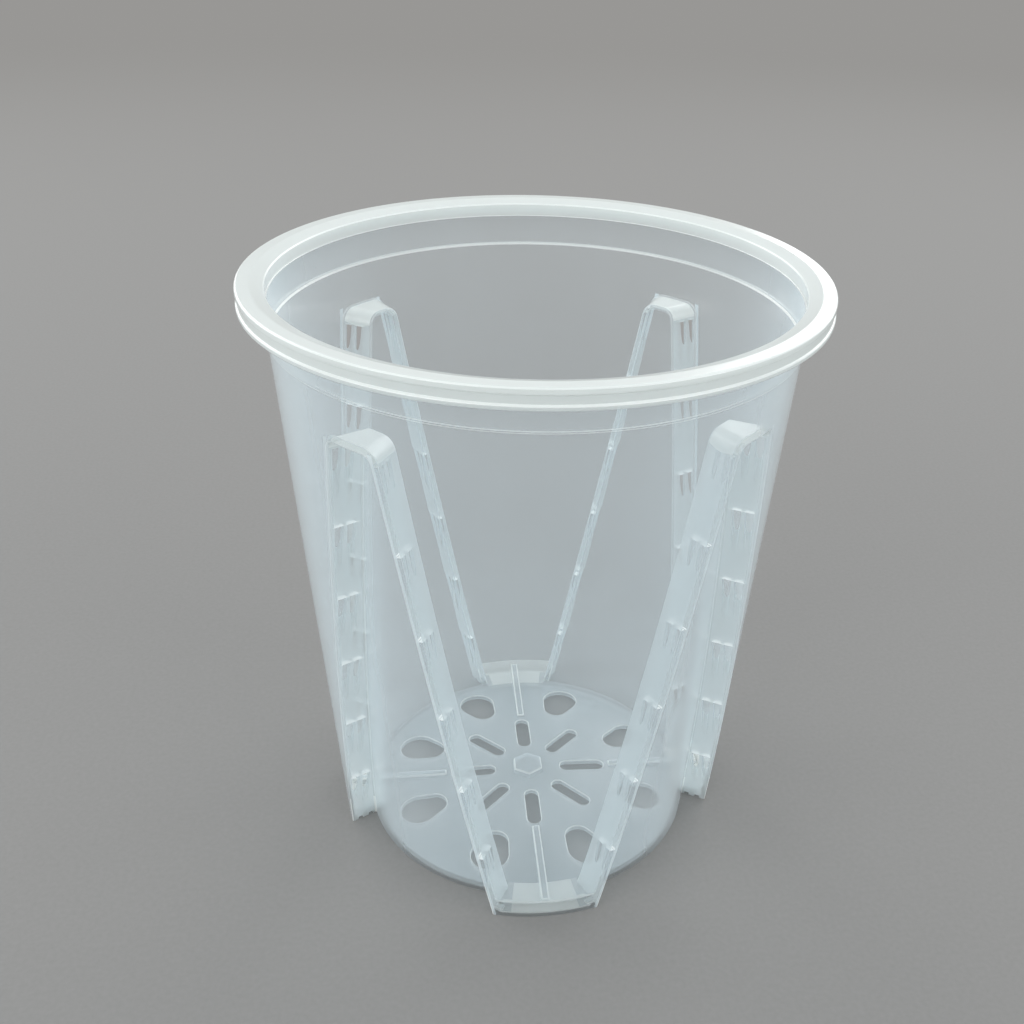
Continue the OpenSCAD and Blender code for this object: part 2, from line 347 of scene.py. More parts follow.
# %% [markdown]
# ## The recesses
# Each recess is a tent-shaped space pressed into the cup: narrow under its rounded roof, wide at the
# ground, and a little wider at the outside than at its back. A tent is one outline, extruded while its
# two halves move apart; they are drawn well apart, so that each point's side is plain, and closed up after.
# The tents are cut from the round solids, and a slimmer round core put back in gives the recess its smooth
# back wall. The same cut with a tent grown by the wall's thickness makes the inside, so the wall keeps its
# thickness everywhere.

# %% Outline of a recess
ROOF_ROUND = 2.2
ROOF_STEPS = 9


def half_tent(grow):
    """Half of a tent's outline as (distance from its middle, height), from the ground up to its roof."""
    shift = grow / math.cos(LEAN)
    round_r = ROOF_ROUND + grow
    round_z = ROOF_IN_Z - ROOF_ROUND
    round_w = side_w(round_z) + shift - round_r / math.cos(LEAN)
    low = BELOW - 2
    half = [(side_w(low) + shift, low)]
    for k in range(ROOF_STEPS + 1):
        turn = LEAN + (QUARTER - LEAN) * k / ROOF_STEPS
        half.append((round_w + round_r * math.cos(turn), round_z + round_r * math.sin(turn)))
    return half


# %% Four tents round the pot
TENT_NEAR = 25.0
TENT_FAR = 75.0
APART = 40.0


def tents(name, grow):
    """The four recess spaces, grown by some millimetres on every side."""
    bm = bmesh.new()
    right = [(w / math.cos(FLARE) + TENT_NEAR * math.tan(FLARE), z) for w, z in half_tent(grow)]
    spread = (TENT_FAR - TENT_NEAR) * math.tan(FLARE)
    ring = [bm.verts.new((TENT_NEAR, v + APART, z)) for v, z in right]
    ring += [bm.verts.new((TENT_NEAR, -v - APART, z)) for v, z in reversed(right)]
    bm.faces.new(ring)
    grown = bmesh.ops.extrude_face_region(bm, geom=bm.faces[:])
    for vert in (g for g in grown["geom"] if isinstance(g, bmesh.types.BMVert)):
        vert.co.x = TENT_FAR
        vert.co.y += math.copysign(spread, vert.co.y)
    for vert in bm.verts:
        vert.co.y -= math.copysign(APART, vert.co.y)
    bmesh.ops.recalc_face_normals(bm, faces=bm.faces[:])
    bmesh.ops.rotate(bm, verts=bm.verts[:], cent=(0, 0, 0), matrix=Matrix.Rotation(QUARTER / 2, 3, "Z"))
    copies_round(bm, 4)
    return as_object(bm, name)


# %% Press the recesses into the cup
def core(name, shrink, low):
    """The round core behind the recesses."""
    top = ROOF_Z + 3
    return lathe(name, [
        (0, low), (recess_r(low) - shrink, low), (recess_r(top) - shrink, top), (0, top)])


combine(outside, tents("recess_spaces", 0), "DIFFERENCE")
combine(outside, core("recess_core", 0, BELOW), "UNION")
combine(hollow, tents("recess_skins", WALL_T), "DIFFERENCE")
combine(hollow, core("inner_core", WALL_T, BELOW - 1), "UNION")


# %% Soft corners of the recesses
def on_recess(edge):
    """True for the edges of the recesses, from the ground up to their roofs."""
    top = max(v.co.z for v in edge.verts)
    return BELOW + 0.5 < top < ROOF_Z + 2


print("outer recess edges softened:", soften(outside, size=0.42, segments=3, chosen=on_recess))
print("inner recess edges softened:", soften(hollow, size=0.4, segments=2, chosen=on_recess))

# %% [markdown]
# ## The floor
# The floor is a thin dome, so that water runs outward to eight large egg-shaped holes. Its section is an
# arc of a very large ball, from the flat seat of the knob in the middle out to a flat border. It is spun
# in fewer steps than the cup, since its curve is so shallow.

# %% Domed floor
DOME_R = 34.0
DOME_RISE = 1.6
DOME_STEPS = 12
FLOOR_STEPS = 48
KNOB_R = 4.1
KNOB_SEAT_R = KNOB_R + 0.5
ball_r = (DOME_R ** 2 + DOME_RISE ** 2) / (2 * DOME_RISE)


def dome_lift(x):
    """Height of the dome over the floor's flat border, at the distance x from the axis."""
    return math.sqrt(ball_r ** 2 - x ** 2) - ball_r + DOME_RISE


def dome_line(base):
    """Points of the dome's section from the knob's seat out to its border."""
    xs = [KNOB_SEAT_R + (DOME_R - KNOB_SEAT_R) * k / DOME_STEPS for k in range(DOME_STEPS + 1)]
    return [(x, base + dome_lift(x)) for x in xs]


knob_z = FLOOR_Z + dome_lift(KNOB_SEAT_R)
disc_r = recess_r(0) - WALL_T / 2
floor = lathe("pot_floor", (
    [(0, knob_z - FLOOR_T)] + dome_line(FLOOR_LIFT)
    + [(disc_r, FLOOR_LIFT), (disc_r, FLOOR_Z)]
    + dome_line(FLOOR_Z)[::-1] + [(0, knob_z)]
), FLOOR_STEPS)
print("ball that the dome is part of:", round(ball_r), "mm radius")

# %% [markdown]
# ## Drain holes
# An egg-shaped cutter is the convex hull of two round pegs of different sizes, and a slot cutter that of
# two equal ones. Eight of each go round the floor, the eggs between the slots. The holes' rims get a small
# rounding before the floor joins the walls, while they are easy to find.

# %% Drain holes and radial slots
PEG_SIDES = 40
PEG_LOW = -4
PEG_H = 12
CAP_FLAT = 0.01
HOLE_PEGS = [(29.0, 4.3), (25.2, 3.0)]
FLOOR_SLOT_PEGS = [(9.6, 1.6), (17.2, 1.6)]


def peg_hull(pegs):
    """A closed cutter round upright pegs, each given as (distance from the axis, radius)."""
    bm = bmesh.new()
    for x, radius in pegs:
        middle = Matrix.Translation((x, 0, PEG_LOW + PEG_H / 2))
        bmesh.ops.create_cone(bm, cap_ends=True, segments=PEG_SIDES, radius1=radius, radius2=radius,
                              depth=PEG_H, matrix=middle)
    hull = bmesh.ops.convex_hull(bm, input=bm.verts[:])
    spare = [g for g in hull["geom_interior"] + hull["geom_unused"] if g.is_valid]
    bmesh.ops.delete(bm, geom=[g for g in spare if isinstance(g, bmesh.types.BMVert)], context="VERTS")
    kept = set(g for g in hull["geom"] if g.is_valid and isinstance(g, bmesh.types.BMFace))
    bmesh.ops.delete(bm, geom=[f for f in bm.faces if f not in kept], context="FACES_ONLY")
    loose = [e for e in bm.edges if not e.link_faces]
    bmesh.ops.delete(bm, geom=loose, context="EDGES")
    bmesh.ops.dissolve_limit(bm, angle_limit=CAP_FLAT, verts=bm.verts[:], edges=bm.edges[:])
    bmesh.ops.recalc_face_normals(bm, faces=bm.faces[:])
    return bm


holes = peg_hull(HOLE_PEGS)
bmesh.ops.rotate(holes, verts=holes.verts[:], cent=(0, 0, 0), matrix=Matrix.Rotation(QUARTER / 4, 3, "Z"))
copies_round(holes, 8)
combine(floor, as_object(holes, "drain_holes"), "DIFFERENCE")
floor_slots = peg_hull(FLOOR_SLOT_PEGS)
copies_round(floor_slots, 8)
combine(floor, as_object(floor_slots, "floor_slots"), "DIFFERENCE")


def on_hole(edge):
    """True for the edges of the holes, which all lie within the dome."""
    return max(v.co.xy.length for v in edge.verts) < DOME_R + 1


print("edges of holes softened:", soften(floor, size=0.22, segments=2, chosen=on_hole))

# %% [markdown]
# ## Toes, ribs and knob
# Between the recesses the floor runs on into the four toes, where a cove carries it up the outer wall.
# A rib stiffens each toe, and a six-sided knob marks the middle. Each is made a little too long, so that
# it sinks into its neighbour and the join leaves no gap.

# %% Toe floors
COVE_R = 2.3
COVE_STEPS = 9
SINK = 1.5
COVE_SINK = 0.25
toe_r = outer_r(0) - WALL_T / 2
cove_x = outer_r(FLOOR_Z) - WALL_T
cove = []
for k in range(COVE_STEPS + 1):
    turn = QUARTER * k / COVE_STEPS
    cove.append((cove_x - COVE_R + COVE_R * math.sin(turn), FLOOR_Z + COVE_R - COVE_R * math.cos(turn)))
cove[-1] = (cove_x + COVE_SINK, FLOOR_Z + COVE_R)
toes = lathe("toe_floors", (
    [(disc_r - SINK, FLOOR_LIFT), (toe_r, FLOOR_LIFT), (toe_r + 0.3, FLOOR_Z + COVE_R)]
    + cove[::-1] + [(disc_r - SINK, FLOOR_Z)]
))
combine(toes, tents("toe_gaps", WALL_T / 2), "DIFFERENCE")

# %% Ribs
RIB_START = 20.0
RIB_END = cove_x - 0.8
RIB_HALF_W = 0.9
RIB_FOOT_Z = 1.0
RIB_FOOT_RISE = 0.4
RIB_Z = FLOOR_Z + 1.7
ribs = bmesh.new()
outline(ribs, [(RIB_START, -RIB_HALF_W), (RIB_END, -RIB_HALF_W), (RIB_END, RIB_HALF_W),
               (RIB_START, RIB_HALF_W)], "xy")
push_up(ribs, RIB_Z - RIB_FOOT_Z)
bmesh.ops.translate(ribs, verts=ribs.verts[:], vec=(0, 0, RIB_FOOT_Z))
for vert in ribs.verts:
    # The dome is higher at the rib's inner end, so the rib's foot rises there too.
    if vert.co.x < RIB_START + 1 and vert.co.z < RIB_FOOT_Z + 1:
        vert.co.z += RIB_FOOT_RISE
copies_round(ribs, 4)
ribs = as_object(ribs, "floor_ribs")


def on_rib_top(edge):
    """True for the upper edges of the ribs."""
    return min(v.co.z for v in edge.verts) > RIB_Z - 0.8


print("rib edges softened:", soften(ribs, size=0.35, segments=3, chosen=on_rib_top))

# %% Knob
KNOB_SIDES = 6
KNOB_DRAFT = 0.94
KNOB_H = 1.5
KNOB_SINK = 0.6
knob_middle = Matrix.Translation((0, 0, knob_z + (KNOB_H - KNOB_SINK) / 2))
knob = bmesh.new()
bmesh.ops.create_cone(knob, cap_ends=True, segments=KNOB_SIDES, radius1=KNOB_R,
                      radius2=KNOB_R * KNOB_DRAFT, depth=KNOB_H + KNOB_SINK, matrix=knob_middle)
knob = as_object(knob, "floor_knob_form")


def on_knob_top(edge):
    """True for the edges of the knob's flat top."""
    return min(v.co.z for v in edge.verts) > knob_z


print("knob edges softened:", soften(knob, size=0.45, segments=3, chosen=on_knob_top))

# %% [markdown]
# ## One closed skin
# Now the hollow is cut from the outside, the open foot is cut level with the ground, and the floor, ribs
# and knob join it. Because every tool overlaps what it meets, each step leaves one watertight skin.

# %% Join the cup and its floor
pot = outside
pot.name = "clear_pot"
combine(pot, hollow, "DIFFERENCE")
GROUND = 200
ground = bmesh.new()
bmesh.ops.create_cube(ground, size=GROUND, matrix=Matrix.Translation((0, 0, -GROUND / 2)))
combine(pot, as_object(ground, "ground_cut"), "DIFFERENCE")
combine(pot, toes, "UNION")
combine(pot, floor, "UNION")
combine(pot, ribs, "UNION")
combine(pot, knob, "UNION")

# %% [markdown]
# ## Laps on the side walls
# A side wall is stepped like shingles: at each row of slots a ledge a third of a millimetre deep runs
# across it. In the photograph the ledges show as bright dashes. A lap is a wedge, extruded along the wall,
# thick at its foot and running out to nothing at the next one's ledge. All that belongs to the side walls
# is drawn once, along a wall that stands square to Y, and then turned, mirrored and repeated.

# %% Helpers for the side walls
def side_s(radius, z):
    """Distance along a side wall at which it crosses a radius, at height z."""
    return math.sqrt(radius ** 2 - side_w(z) ** 2)


def pour_into(target, source):
    """Adds all of one bmesh to another, and frees the first."""
    spare = bpy.data.meshes.new("spare")
    source.to_mesh(spare)
    source.free()
    target.from_mesh(spare)
    bpy.data.meshes.remove(spare)


def on_all_side_walls(bm):
    """Turns what lies along one side wall to that wall, and repeats it on all eight."""
    bmesh.ops.rotate(bm, verts=bm.verts[:], cent=(0, 0, 0), matrix=Matrix.Rotation(FLARE, 3, "Z"))
    bmesh.ops.mirror(bm, geom=bm.verts[:] + bm.edges[:] + bm.faces[:], merge_dist=-1, axis="Y")
    bmesh.ops.recalc_face_normals(bm, faces=bm.faces[:])
    bmesh.ops.rotate(bm, verts=bm.verts[:], cent=(0, 0, 0), matrix=Matrix.Rotation(QUARTER / 2, 3, "Z"))
    copies_round(bm, 4)


# %% Laps
SLOT_PITCH = 18.6
LOWEST_SLOT_TOP = 15.5
SLOT_ROWS = 6
SLOT_TOPS = [LOWEST_SLOT_TOP + SLOT_PITCH * row for row in range(SLOT_ROWS)]
LAP = 0.35
LAP_END = 0.02
LAP_RISE = 0.15
LAP_GAP = 0.5
LAP_MARGIN = 0.75


def lap(bottom):
    """A shingle on a side wall's recess face: a thin edge at its foot that runs out to nothing above."""
    one = bmesh.new()
    top = bottom + SLOT_PITCH - LAP_GAP
    ring = [one.verts.new((0, w, z)) for w, z in (
        (side_w(bottom) - LAP, bottom), (side_w(bottom) + WALL_T / 2, bottom),
        (side_w(top) + WALL_T / 2, top), (side_w(top) + LAP_END, top))]
    one.faces.new(ring)
    grown = bmesh.ops.extrude_face_region(one, geom=one.faces[:])
    outer = set(g for g in grown["geom"] if isinstance(g, bmesh.types.BMVert))
    for vert in one.verts:
        z = vert.co.z
        if vert in outer:
            vert.co.x = side_s(outer_r(z), z) - LAP_MARGIN
        else:
            vert.co.x = side_s(recess_r(z), z) + LAP_MARGIN
    bmesh.ops.recalc_face_normals(one, faces=one.faces[:])
    return one


laps = bmesh.new()
for top in SLOT_TOPS[:-1]:
    pour_into(laps, lap(top + LAP_RISE))
on_all_side_walls(laps)
combine(pot, as_object(laps, "laps"), "UNION")

# %% [markdown]
# ## Slots in the side walls
# A slot is not a hole punched square through the wall. The mould's steel comes straight down, so a slot
# is an upright groove: the leaning wall runs out of it, and only its upper end breaks through as a
# window that narrows to a point. One groove is a tapered outline with a round nose, pushed straight up.
# A small notch under each column of slots lets water out of the side wall's lower edge.

# %% Grooves that leave the slots
SLOT_DEEP = 1.9
SLOT_EDGE = 2.1
SLOT_GAP = 2.6
MOUTH_HALF_W = 1.0
NOSE_HALF_W = 0.6
slot_run = (SLOT_DEEP + LAP) / math.tan(LEAN)


def column_at(z, column):
    """Where a column of slots stands along a side wall, at height z."""
    return side_s(outer_r(z), z) - SLOT_EDGE - SLOT_GAP * column


def slot_groove(top, column):
    """One upright groove that ends at the height top."""
    one = bmesh.new()
    outline(one, [(-MOUTH_HALF_W, -SLOT_DEEP), (MOUTH_HALF_W, -SLOT_DEEP), (MOUTH_HALF_W, 0),
                  (NOSE_HALF_W, SLOT_DEEP, 0.5), (-NOSE_HALF_W, SLOT_DEEP, 0.5), (-MOUTH_HALF_W, 0)], "xy")
    push_up(one, slot_run)
    bmesh.ops.translate(one, verts=one.verts[:], vec=(column_at(top, column), side_w(top), top - slot_run))
    return one


# %% Notches at the foot, and the cut
FOOT_NOTCH_W = 1.2
FOOT_NOTCH_H = 0.8


def foot_notch(column):
    """A small drain notch in a side wall's lower edge."""
    one = bmesh.new()
    bmesh.ops.create_cube(one, size=1)
    bmesh.ops.scale(one, verts=one.verts[:], vec=(FOOT_NOTCH_W, 3 * WALL_T, 2 * FOOT_NOTCH_H))
    bmesh.ops.translate(one, verts=one.verts[:], vec=(column_at(0, column), side_w(0) + WALL_T / 2, 0))
    return one


slots = bmesh.new()
for column in (0, 1):
    pour_into(slots, foot_notch(column))
    for top in SLOT_TOPS:
        pour_into(slots, slot_groove(top, column))
on_all_side_walls(slots)
print("slots:", 8 * 2 * len(SLOT_TOPS))
combine(pot, as_object(slots, "slots"), "DIFFERENCE")

# %% [markdown]
# ## How milky each wall is
# Clear polypropylene looks clear where it is thin and seen straight on, and white where there is more of
# it: at the rim, on the side walls, in the toes and along every edge. One closed skin has one material, so
# each face carries its own milkiness as an attribute, worked out from where the face lies. A second attribute
# holds a painted glow: an emission at ledges, sharp edges, hole rims, the step and the roofs, which stands in
# for light that gathers in the plastic and comes out there. A third one says how far a point of the outer wall
# lies from the nearest side wall, whose end is seen through it.

# %% Milk and painted glow of each part
MILK = {"wall": 0.08, "back": 0.08, "side": 0.5, "roof": 1.1, "floor": 0.27, "toe": 1.3, "collar": 0.12,
        "rim": 1.4, "skirt": 1.0, "corner": 0.4, "floor_edge": 1.2, "step": 0.9, "edge": 6.0, "ledge": 6.0}
# Painted glow: the emission strength of each part, a painted highlight where light piped through the plastic would
# come out.
PAINTED_GLOW = {"floor_edge": 0.05, "step": 0.08, "edge": 0.1, "ledge": 0.5, "roof": 0.04}


def side_offset(point):
    """How far outside the nearest recess a point lies, measured square to that recess's side wall."""
    turned = math.atan2(point.y, point.x) % QUARTER - QUARTER / 2
    radius = point.xy.length
    across = abs(radius * math.sin(turned))
    along = radius * math.cos(turned)
    return across * math.cos(FLARE) - along * math.sin(FLARE) - side_w(point.z)


# %% [markdown]
# ## Which part a face belongs to
# After the Booleans only two things tell the faces apart: where they lie and which way they face. So the
# tests below go from the parts that are easy to tell to the hard ones, and what no test claims is plain
# wall. Their margins, in millimetres, take in the roundings beside each part.

# %% Parts of the moulding
SKIN = WALL_T / math.cos(LEAN)
FLOOR_ZONE = FLOOR_Z + 3


def part_of_rim(face, z, radius):
    """Names the part of the rim that a face belongs to."""
    if z > RING_Z - 0.2 and 0.25 < abs(face.normal.z) < 0.95:
        return "edge"
    if z > RING_Z - 0.2:
        return "rim" if z > SKIRT_Z + 1.3 or radius < RING_R + 0.2 else "skirt"
    if z > SKIRT_Z - 0.3 and radius > RING_R + 1:
        return "skirt"
    return "collar"


def part_of(face):
    """Names the part of the moulding that a face belongs to, from where it lies."""
    point = face.calc_center_median()
    z = point.z
    radius = point.xy.length
    if z < 0.05:
        return "edge"
    if abs(z - STEP_Z) < 0.3 and radius > STEP_R - WALL_T - 0.3:
        return "step"
    if z > STEP_Z + 0.2:
        return part_of_rim(face, z, radius)
    if z < FLOOR_Z + DOME_RISE + 2 and radius < recess_r(z) - WALL_T - 0.05:
        return "floor"
    offset = side_offset(point)
    faces_out = radius > 1 and abs(face.normal.xy.dot(point.xy)) / radius > 0.8
    if radius < recess_r(z) + 0.1 and z < ROOF_Z and offset < SKIN and faces_out:
        return "back"
    if ROOF_IN_Z - ROOF_ROUND - 0.3 < z < ROOF_Z + 0.5 and offset < SKIN + 0.5 and not faces_out:
        return "roof"
    if z < ROOF_Z and -0.6 < offset < SKIN + 0.6 and radius < outer_r(z) - 0.05 and not faces_out:
        return "ledge" if abs(face.normal.z) > 0.7 and z > FLOOR_ZONE else "side"
    if z < FLOOR_Z + 2.6 and radius < outer_r(z) - 0.2:
        return "toe"
    return "wall"


# %% Attributes for the material and the shading
FAR_OFF = -9.0
ALONG_WALL = 0.03
WALL_MARGIN = 0.12


def mark_faces(bm):
    """Writes milk, painted glow and roundness to every face, and prints how many faces each part has."""
    rounded = bm.faces.layers.float["rounded"]
    milk = bm.faces.layers.float.new("milk")
    glow = bm.faces.layers.float.new("glow")
    is_round = bm.faces.layers.int.new("is_round")
    count = {}
    for face in bm.faces:
        point = face.calc_center_median()
        part = part_of(face)
        if face[rounded] > 0.5:
            part = "corner" if point.z > FLOOR_ZONE else "floor_edge"
        face[milk] = MILK[part]
        face[glow] = PAINTED_GLOW.get(part, 0.0)
        face.smooth = part != "side"
        around = Vector((-point.y, point.x, 0)).normalized()
        face[is_round] = part in ("wall", "back", "collar") and abs(face.normal.dot(around)) < ALONG_WALL
        count[part] = count.get(part, 0) + 1
    bm.faces.layers.float.remove(bm.faces.layers.float["rounded"])
    print("faces of each part:", count)


def mark_side_offset(bm):
    """Writes to the points of the outer wall how far they lie outside a recess; others get a far value."""
    away = bm.verts.layers.float.new("side_offset")
    for vert in bm.verts:
        on_outer_wall = abs(vert.co.xy.length - outer_r(vert.co.z)) < WALL_MARGIN
        vert[away] = side_offset(vert.co) if on_outer_wall else FAR_OFF


# %% [markdown]
# ## Shading and metres
# The mesh goes from millimetres to metres. Weighted normals let the large faces decide the shading, so that
# the narrow roundings catch light without bending the reflections in the walls beside them. The cut strips
# of a round wall would still show as stripes in a glossy clear material. There the normals are known
# exactly, as those of a cone, so they are written out corner by corner.

# %% Metres and weighted normals
SHARP = math.radians(50)
bm = bmesh.new()
bm.from_mesh(pot.data)
bmesh.ops.remove_doubles(bm, verts=bm.verts[:], dist=TINY / 2)
bmesh.ops.dissolve_degenerate(bm, edges=bm.edges[:], dist=TINY / 2)
bmesh.ops.delete(bm, geom=[e for e in bm.edges if not e.link_faces], context="EDGES")
mark_faces(bm)
mark_side_offset(bm)
bmesh.ops.scale(bm, verts=bm.verts[:], vec=(MM, MM, MM))
bm.to_mesh(pot.data)
bm.free()
pot.data.set_sharp_from_angle(angle=SHARP)
weigh = pot.modifiers.new("weigh_normals", "WEIGHTED_NORMAL")
weigh.keep_sharp = True
weigh.weight = 100
print("pot:", len(pot.data.polygons), "faces")


# %% Exact normals on the round walls
def round_normals(mesh, normals):
    """Gives the corners of the round walls the normals of a true cone; returns how many it changed."""
    is_round = mesh.attributes["is_round"].data
    changed = 0
    for face in mesh.polygons:
        if not is_round[face.index].value:
            continue
        out = Vector((face.center.x, face.center.y, 0)).normalized()
        slope = face.normal.dot(out)
        for corner in face.loop_indices:
            point = mesh.vertices[mesh.loops[corner].vertex_index].co
            ray = Vector((point.x, point.y, 0)).normalized() * slope
            normals[corner] = Vector((ray.x, ray.y, face.normal.z)).normalized()
            changed += 1
    return changed


weighed = pot.evaluated_get(bpy.context.evaluated_depsgraph_get()).data
corner_normals = [normal.vector.copy() for normal in weighed.corner_normals]
print("corners with exact normals:", round_normals(pot.data, corner_normals), "of", len(corner_normals))
pot.modifiers.clear()
pot.data.normals_split_custom_set(corner_normals)
pot.data.attributes.remove(pot.data.attributes["is_round"])

# %% [markdown]
# ## What the skin stands for
# The real pot is one rigid moulding, so its skin rides on the part's only body. It takes the place of every
# node of the CAD model, and the material's slot carries the name by which the library knows it.

# %% Body, replaced nodes and slot
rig.ride(pot, "root")
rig.replaces(pot, *sorted(frame["nodes"]))
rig.slot(pot, "clear_plastic")
print("nodes replaced:", len(frame["nodes"]))

# %% [markdown]
# ## Shader maths
# A small class wraps a socket, so that a formula in the script reads like a formula. Each operator adds
# the Math node that it stands for. Any other node comes from one method of the material's builder.

# %% Sockets as numbers
class Term:
    """A socket that can stand in a formula."""

    def __init__(self, build, socket):
        self.build = build
        self.socket = socket

    def maths(self, operation, *values):
        """A Math node of one operation."""
        return self.build.node("ShaderNodeMath", {"operation": operation}, dict(enumerate(values)))

    def __add__(self, other):
        return self.maths("ADD", self, other)

    __radd__ = __add__

    def __sub__(self, other):
        return self.maths("SUBTRACT", self, other)

    def __rsub__(self, other):
        return self.maths("SUBTRACT", other, self)

    def __mul__(self, other):
        return self.maths("MULTIPLY", self, other)

    __rmul__ = __mul__

    def __truediv__(self, other):
        return self.maths("DIVIDE", self, other)

    def __pow__(self, other):
        return self.maths("POWER", self, other)

    def __abs__(self):
        return self.maths("ABSOLUTE", self)

    def least(self, other):
        """The smaller of two values."""
        return self.maths("MINIMUM", self, other)

    def most(self, other):
        """The larger of two values."""
        return self.maths("MAXIMUM", self, other)


# %% A builder of node trees
class Build:
    """Adds nodes to one new material, or to a node tree that is there already."""

    def __init__(self, name, tree=None):
        if tree is None:
            self.material = bpy.data.materials.new(name)
            self.material.use_nodes = True
            tree = self.material.node_tree
        self.tree = tree
        self.tree.nodes.clear()

    def node(self, kind, settings=None, inputs=None, output=0):
        """A node of a kind, with its settings made first, and then its sockets filled or linked."""
        made = self.tree.nodes.new(kind)
        for name, value in (settings or {}).items():
            if name == "stops":
                for stop, (place, colour) in zip(made.color_ramp.elements, value):
                    stop.position, stop.color = place, colour
            else:
                setattr(made, name, value)
        for name, value in (inputs or {}).items():
            if isinstance(value, Term):
                self.tree.links.new(value.socket, made.inputs[name])
            else:
                made.inputs[name].default_value = value
        return Term(self, made.outputs[output]) if made.outputs else None

    def finish(self, surface):
        """Links the last shader to the output, and returns the material."""
        self.node("ShaderNodeOutputMaterial", None, {"Surface": surface})
        return self.material


# %% [markdown]
# ## Clear, slightly milky polypropylene
# Clear polypropylene is never as clear as glass. Light goes nearly straight through, but each wall adds a
# thin veil of bluish white, which thickens where the eye looks along the wall. A glass shader would need
# many bends through thin walls, so the wall is mixed from three plain parts: a clear one, a milky one that
# lights up from both sides and carries a painted glow at ledges and edges, and a gloss that grows at a
# glancing angle, as it does on every clear plastic.
# Where the end of a side wall lies behind the outer wall, the plastic is as deep as that wall is long, and
# shows as a bright line. Seen slanted there is less of it in line, so the line fades with the angle.

# %% Ends of the side walls
END_MARGIN = 0.1
END_FADE = 0.15
ROOF_FADE = 0.3


def end_of_side_wall(build, place):
    """1 where the end of a side wall lies behind the outer wall, fading to 0 beside it and over the roof."""
    offset = build.node("ShaderNodeAttribute", {"attribute_name": "side_offset"}, output=2)
    height = build.node("ShaderNodeSeparateXYZ", None, {0: place}, output=2)
    under_roof = (ROOF_Z * MM - height) / (ROOF_FADE * MM)
    beside = (WALL_T / 2 + END_MARGIN - abs(offset - WALL_T / 2)) / END_FADE
    return beside.most(0).least(under_roof.most(0).least(1))


# %% The pot's plastic
END_GLEAM = 4.0
SHINES_THROUGH = 0.32
BLUISH = (0.81, 0.92, 0.98, 1)
WHITISH = (0.97, 0.995, 0.965, 1)


def clear_plastic():
    """Milky clear plastic with cloudy veils, tiny specks, and ledges and rounded edges made bright by thick milk and a
    painted glow.
    """
    build = Build("clear_polypropylene")
    place = build.node("ShaderNodeTexCoord", output=3)
    facing = build.node("ShaderNodeLayerWeight", None, {"Blend": 0.5}, output=1)
    straight_on = 1 - facing
    clouds = build.node("ShaderNodeTexNoise", None,
                        {"Vector": place, "Scale": 28.0, "Detail": 3.0, "Roughness": 0.55})
    specks = build.node("ShaderNodeTexVoronoi", None, {"Vector": place, "Scale": 260.0})
    speck = build.node("ShaderNodeValToRGB",
                       {"stops": ((0.035, (1, 1, 1, 1)), (0.06, (0, 0, 0, 1)))}, {"Fac": specks})
    milk_here = build.node("ShaderNodeAttribute", {"attribute_name": "milk"}, output=2)
    # The milk varies a little from place to place.
    milkiness = (milk_here * (0.65 + 0.7 * clouds)
                 + END_GLEAM * end_of_side_wall(build, place) * straight_on ** 4)
    # Seen slanted, the way through the wall is longer, and the veil is thicker.
    veil = (milkiness / (milkiness + straight_on ** 1.7) + 0.05 * speck).least(0.97)
    ripple = build.node("ShaderNodeTexNoise", None, {"Vector": place, "Scale": 90.0, "Detail": 2.0})
    bump = build.node("ShaderNodeBump", None, {"Strength": 0.06, "Distance": 0.0004, "Height": ripple})
    clear = build.node("ShaderNodeBsdfTransparent", None, {"Color": (0.975, 0.985, 0.99, 1)})
    tint = build.node("ShaderNodeMix", {"data_type": "RGBA"},
                      {0: milk_here, 6: BLUISH, 7: WHITISH}, output=2)
    # The emission below is a painted glow at ledges, edges, the step and the roofs, where light gathered in the
    # plastic would come out.
    painted_glow_here = build.node("ShaderNodeAttribute", {"attribute_name": "glow"}, output=2)
    lit_side = build.node("ShaderNodeBsdfPrincipled", None, {
        "Base Color": tint, "Roughness": 0.35, "Normal": bump,
        "Emission Color": painted_glow_here, "Emission Strength": 1.0})
    far_side = build.node("ShaderNodeBsdfTranslucent", None, {"Color": (0.88, 0.965, 0.98, 1)})
    milky = build.node("ShaderNodeMixShader", None, {0: SHINES_THROUGH, 1: lit_side, 2: far_side})
    body = build.node("ShaderNodeMixShader", None, {0: veil, 1: clear, 2: milky})
    gloss = build.node("ShaderNodeBsdfGlossy", None,
                       {"Color": (1, 1, 1, 1), "Roughness": 0.18, "Normal": bump})
    # Clear plastic reflects little when seen straight on, and nearly all at a glancing angle.
    reflected = 0.04 + 0.9 * facing ** 5
    return build.finish(build.node("ShaderNodeMixShader", None, {0: reflected, 1: body, 2: gloss}))


plastic = clear_plastic()
pot.data.materials.clear()
pot.data.materials.append(plastic)
for node in frame["nodes"].values():
    node.data.materials.clear()
    node.data.materials.append(plastic)
print("material:", plastic.name, "with", len(plastic.node_tree.nodes), "nodes")

# %% [markdown]
# ## Floor and surroundings
# The pot stands on a wide disc of plain pale paper. Farther out the paper passes smoothly into the same
# even tone as the world shows to the camera, so no horizon is seen from any side. The gloss of the pot
# sees that tone too, while the light that falls on the pot comes from a brighter, slightly cool world.

# %% What the camera looks at
PALE = (0.315, 0.310, 0.301, 1)


def looked_at(build):
    """1 for rays from the camera, a glossy surface or through glass, and 0 for those that carry light."""
    paths = build.tree.nodes.new("ShaderNodeLightPath")
    camera_ray, glossy, through = (Term(build, paths.outputs[name]) for name in
                                   ("Is Camera Ray", "Is Glossy Ray", "Is Transmission Ray"))
    return camera_ray.most(glossy).most(through)


